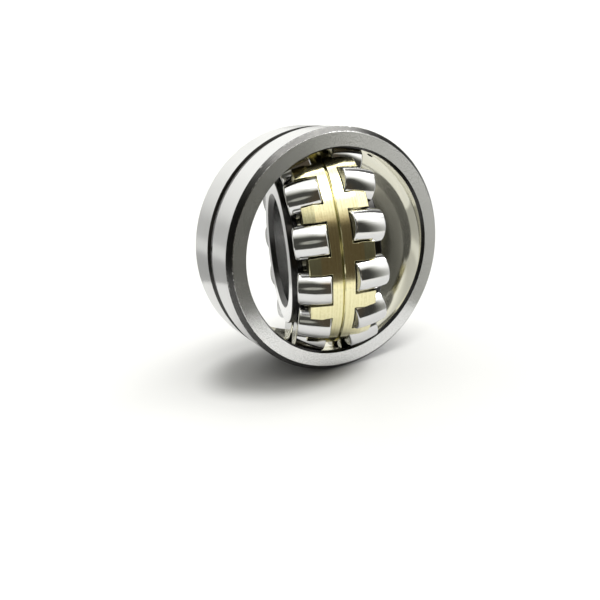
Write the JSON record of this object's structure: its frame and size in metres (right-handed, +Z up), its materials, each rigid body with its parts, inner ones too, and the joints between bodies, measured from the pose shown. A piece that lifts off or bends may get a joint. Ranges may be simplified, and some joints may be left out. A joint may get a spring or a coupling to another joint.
{
  "type": "spherical roller bearing",
  "caption": "Self-aligning roller bearing: barrel rollers in brass comb cages carry an inner ring that swivels inside an outer ring with a spherical raceway and an oil groove.",
  "frame": {"origin": "bearing centre, the centre of the outer raceway's sphere", "axes": "+Y along the outer ring's axis, from the face the inner ring is turned out of toward the back; +Z up, the line the inner assembly is stored swivelled about; +X to the right seen from the front"},
  "size_m": [0.11, 0.0983, 0.11],
  "materials": {
    "ring_steel": "satin",
    "roller_steel": "polished",
    "cage_brass": "satin"
  },
  "bodies": {
    "outer_ring": {"outer_ring": "ring_steel"},
    "inner_ring": {"inner_ring": "ring_steel"},
    "guide_ring": {"guide_ring": "ring_steel"},
    "cage_left": {"cage_left": "cage_brass"},
    "cage_right": {"cage_right": "cage_brass"},
    "roller_left_01": {"roller_left_01": "roller_steel"},
    "roller_left_02": {"roller_left_02": "roller_steel"},
    "roller_left_03": {"roller_left_03": "roller_steel"},
    "roller_left_04": {"roller_left_04": "roller_steel"},
    "roller_left_05": {"roller_left_05": "roller_steel"},
    "roller_left_06": {"roller_left_06": "roller_steel"},
    "roller_left_07": {"roller_left_07": "roller_steel"},
    "roller_left_08": {"roller_left_08": "roller_steel"},
    "roller_left_09": {"roller_left_09": "roller_steel"},
    "roller_left_10": {"roller_left_10": "roller_steel"},
    "roller_left_11": {"roller_left_11": "roller_steel"},
    "roller_left_12": {"roller_left_12": "roller_steel"},
    "roller_left_13": {"roller_left_13": "roller_steel"},
    "roller_right_01": {"roller_right_01": "roller_steel"},
    "roller_right_02": {"roller_right_02": "roller_steel"},
    "roller_right_03": {"roller_right_03": "roller_steel"},
    "roller_right_04": {"roller_right_04": "roller_steel"},
    "roller_right_05": {"roller_right_05": "roller_steel"},
    "roller_right_06": {"roller_right_06": "roller_steel"},
    "roller_right_07": {"roller_right_07": "roller_steel"},
    "roller_right_08": {"roller_right_08": "roller_steel"},
    "roller_right_09": {"roller_right_09": "roller_steel"},
    "roller_right_10": {"roller_right_10": "roller_steel"},
    "roller_right_11": {"roller_right_11": "roller_steel"},
    "roller_right_12": {"roller_right_12": "roller_steel"},
    "roller_right_13": {"roller_right_13": "roller_steel"}
  },
  "joints": [
    {"name": "swivel", "type": "hinge", "parent": "outer_ring", "child": "guide_ring", "pos_m": [0, 0, 0], "axis": [0, 0, 1], "range_deg": [-162.4, 17.6]},
    {"name": "inner_spin", "type": "hinge", "parent": "guide_ring", "child": "inner_ring", "pos_m": [0, 0, 0], "axis": [-0.9532, 0.3024, 0], "continuous": true},
    {"name": "cage_left_spin", "type": "hinge", "parent": "guide_ring", "child": "cage_left", "pos_m": [0, 0, 0], "axis": [-0.9532, 0.3024, 0], "continuous": true},
    {"name": "cage_right_spin", "type": "hinge", "parent": "guide_ring", "child": "cage_right", "pos_m": [0, 0, 0], "axis": [-0.9532, 0.3024, 0], "continuous": true},
    {"name": "roller_left_01_spin", "type": "hinge", "parent": "cage_left", "child": "roller_left_01", "pos_m": [-0.00858, 0.00989, 0.0397], "axis": [-0.9322, 0.2481, -0.2634], "continuous": true},
    {"name": "roller_left_02_spin", "type": "hinge", "parent": "cage_left", "child": "roller_left_02", "pos_m": [-0.00324, 0.02673, 0.03197], "axis": [-0.9677, 0.1364, -0.2121], "continuous": true},
    {"name": "roller_left_03_spin", "type": "hinge", "parent": "cage_left", "child": "roller_left_03", "pos_m": [0.0004, 0.03822, 0.01692], "axis": [-0.9918, 0.0602, -0.1123], "continuous": true},
    {"name": "roller_left_04_spin", "type": "hinge", "parent": "cage_left", "child": "roller_left_04", "pos_m": [0.00152, 0.04172, -0.002], "axis": [-0.9992, 0.037, 0.0133], "continuous": true},
    {"name": "roller_left_05_spin", "type": "hinge", "parent": "cage_left", "child": "roller_left_05", "pos_m": [-0.00016, 0.03645, -0.02047], "axis": [-0.9881, 0.072, 0.1358], "continuous": true},
    {"name": "roller_left_06_spin", "type": "hinge", "parent": "cage_left", "child": "roller_left_06", "pos_m": [-0.00424, 0.02359, -0.03425], "axis": [-0.9611, 0.1573, 0.2272], "continuous": true},
    {"name": "roller_left_07_spin", "type": "hinge", "parent": "cage_left", "child": "roller_left_07", "pos_m": [-0.00978, 0.00611, -0.04018], "axis": [-0.9243, 0.2733, 0.2666], "continuous": true},
    {"name": "roller_left_08_spin", "type": "hinge", "parent": "cage_left", "child": "roller_left_08", "pos_m": [-0.01553, -0.012, -0.03691], "axis": [-0.8862, 0.3934, 0.2449], "continuous": true},
    {"name": "roller_left_09_spin", "type": "hinge", "parent": "cage_left", "child": "roller_left_09", "pos_m": [-0.02015, -0.02659, -0.02518], "axis": [-0.8555, 0.4902, 0.1671], "continuous": true},
    {"name": "roller_left_10_spin", "type": "hinge", "parent": "cage_left", "child": "roller_left_10", "pos_m": [-0.0226, -0.03431, -0.00769], "axis": [-0.8392, 0.5414, 0.051], "continuous": true},
    {"name": "roller_left_11_spin", "type": "hinge", "parent": "cage_left", "child": "roller_left_11", "pos_m": [-0.02231, -0.0334, 0.01157], "axis": [-0.8411, 0.5354, -0.0768], "continuous": true},
    {"name": "roller_left_12_spin", "type": "hinge", "parent": "cage_left", "child": "roller_left_12", "pos_m": [-0.01935, -0.02406, 0.02817], "axis": [-0.8608, 0.4734, -0.1869], "continuous": true},
    {"name": "roller_left_13_spin", "type": "hinge", "parent": "cage_left", "child": "roller_left_13", "pos_m": [-0.0144, -0.00844, 0.03833], "axis": [-0.8937, 0.3698, -0.2543], "continuous": true},
    {"name": "roller_right_01_spin", "type": "hinge", "parent": "cage_right", "child": "roller_right_01", "pos_m": [0.01385, 0.00672, 0.03886], "axis": [-0.8973, 0.3584, 0.2578], "continuous": true},
    {"name": "roller_right_02_spin", "type": "hinge", "parent": "cage_right", "child": "roller_right_02", "pos_m": [0.01895, 0.02278, 0.02949], "axis": [-0.8635, 0.4649, 0.1956], "continuous": true},
    {"name": "roller_right_03_spin", "type": "hinge", "parent": "cage_right", "child": "roller_right_03", "pos_m": [0.02214, 0.03284, 0.01336], "axis": [-0.8423, 0.5317, 0.0886], "continuous": true},
    {"name": "roller_right_04_spin", "type": "hinge", "parent": "cage_right", "child": "roller_right_04", "pos_m": [0.0227, 0.03461, -0.00583], "axis": [-0.8386, 0.5434, -0.0387], "continuous": true},
    {"name": "roller_right_05_spin", "type": "hinge", "parent": "cage_right", "child": "roller_right_05", "pos_m": [0.0205, 0.02768, -0.02369], "axis": [-0.8532, 0.4974, -0.1572], "continuous": true},
    {"name": "roller_right_06_spin", "type": "hinge", "parent": "cage_right", "child": "roller_right_06", "pos_m": [0.01604, 0.01363, -0.03611], "axis": [-0.8827, 0.4042, -0.2396], "continuous": true},
    {"name": "roller_right_07_spin", "type": "hinge", "parent": "cage_right", "child": "roller_right_07", "pos_m": [0.01035, -0.00432, -0.04027], "axis": [-0.9205, 0.2851, -0.2672], "continuous": true},
    {"name": "roller_right_08_spin", "type": "hinge", "parent": "cage_right", "child": "roller_right_08", "pos_m": [0.00473, -0.02205, -0.0352], "axis": [-0.9578, 0.1675, -0.2335], "continuous": true},
    {"name": "roller_right_09_spin", "type": "hinge", "parent": "cage_right", "child": "roller_right_09", "pos_m": [0.00046, -0.0355, -0.02206], "axis": [-0.9861, 0.0783, -0.1464], "continuous": true},
    {"name": "roller_right_10_spin", "type": "hinge", "parent": "cage_right", "child": "roller_right_10", "pos_m": [-0.00148, -0.04159, -0.00387], "axis": [-0.999, 0.0378, -0.0257], "continuous": true},
    {"name": "roller_right_11_spin", "type": "hinge", "parent": "cage_right", "child": "roller_right_11", "pos_m": [-0.00063, -0.03893, 0.0152], "axis": [-0.9934, 0.0555, 0.1009], "continuous": true},
    {"name": "roller_right_12_spin", "type": "hinge", "parent": "cage_right", "child": "roller_right_12", "pos_m": [0.0028, -0.02813, 0.0308], "axis": [-0.9706, 0.1272, 0.2043], "continuous": true},
    {"name": "roller_right_13_spin", "type": "hinge", "parent": "cage_right", "child": "roller_right_13", "pos_m": [0.00802, -0.01165, 0.03933], "axis": [-0.9359, 0.2365, 0.261], "continuous": true}
  ],
  "couplings": [
    {"joint": "cage_left_spin", "follows": "inner_spin", "ratio": 0.41029},
    {"joint": "cage_right_spin", "follows": "inner_spin", "ratio": 0.41029},
    {"joint": "roller_left_01_spin", "follows": "inner_spin", "ratio": -2.5989},
    {"joint": "roller_left_02_spin", "follows": "inner_spin", "ratio": -2.5989},
    {"joint": "roller_left_03_spin", "follows": "inner_spin", "ratio": -2.5989},
    {"joint": "roller_left_04_spin", "follows": "inner_spin", "ratio": -2.5989},
    {"joint": "roller_left_05_spin", "follows": "inner_spin", "ratio": -2.5989},
    {"joint": "roller_left_06_spin", "follows": "inner_spin", "ratio": -2.5989},
    {"joint": "roller_left_07_spin", "follows": "inner_spin", "ratio": -2.5989},
    {"joint": "roller_left_08_spin", "follows": "inner_spin", "ratio": -2.5989},
    {"joint": "roller_left_09_spin", "follows": "inner_spin", "ratio": -2.5989},
    {"joint": "roller_left_10_spin", "follows": "inner_spin", "ratio": -2.5989},
    {"joint": "roller_left_11_spin", "follows": "inner_spin", "ratio": -2.5989},
    {"joint": "roller_left_12_spin", "follows": "inner_spin", "ratio": -2.5989},
    {"joint": "roller_left_13_spin", "follows": "inner_spin", "ratio": -2.5989},
    {"joint": "roller_right_01_spin", "follows": "inner_spin", "ratio": -2.5989},
    {"joint": "roller_right_02_spin", "follows": "inner_spin", "ratio": -2.5989},
    {"joint": "roller_right_03_spin", "follows": "inner_spin", "ratio": -2.5989},
    {"joint": "roller_right_04_spin", "follows": "inner_spin", "ratio": -2.5989},
    {"joint": "roller_right_05_spin", "follows": "inner_spin", "ratio": -2.5989},
    {"joint": "roller_right_06_spin", "follows": "inner_spin", "ratio": -2.5989},
    {"joint": "roller_right_07_spin", "follows": "inner_spin", "ratio": -2.5989},
    {"joint": "roller_right_08_spin", "follows": "inner_spin", "ratio": -2.5989},
    {"joint": "roller_right_09_spin", "follows": "inner_spin", "ratio": -2.5989},
    {"joint": "roller_right_10_spin", "follows": "inner_spin", "ratio": -2.5989},
    {"joint": "roller_right_11_spin", "follows": "inner_spin", "ratio": -2.5989},
    {"joint": "roller_right_12_spin", "follows": "inner_spin", "ratio": -2.5989},
    {"joint": "roller_right_13_spin", "follows": "inner_spin", "ratio": -2.5989}
  ]
}
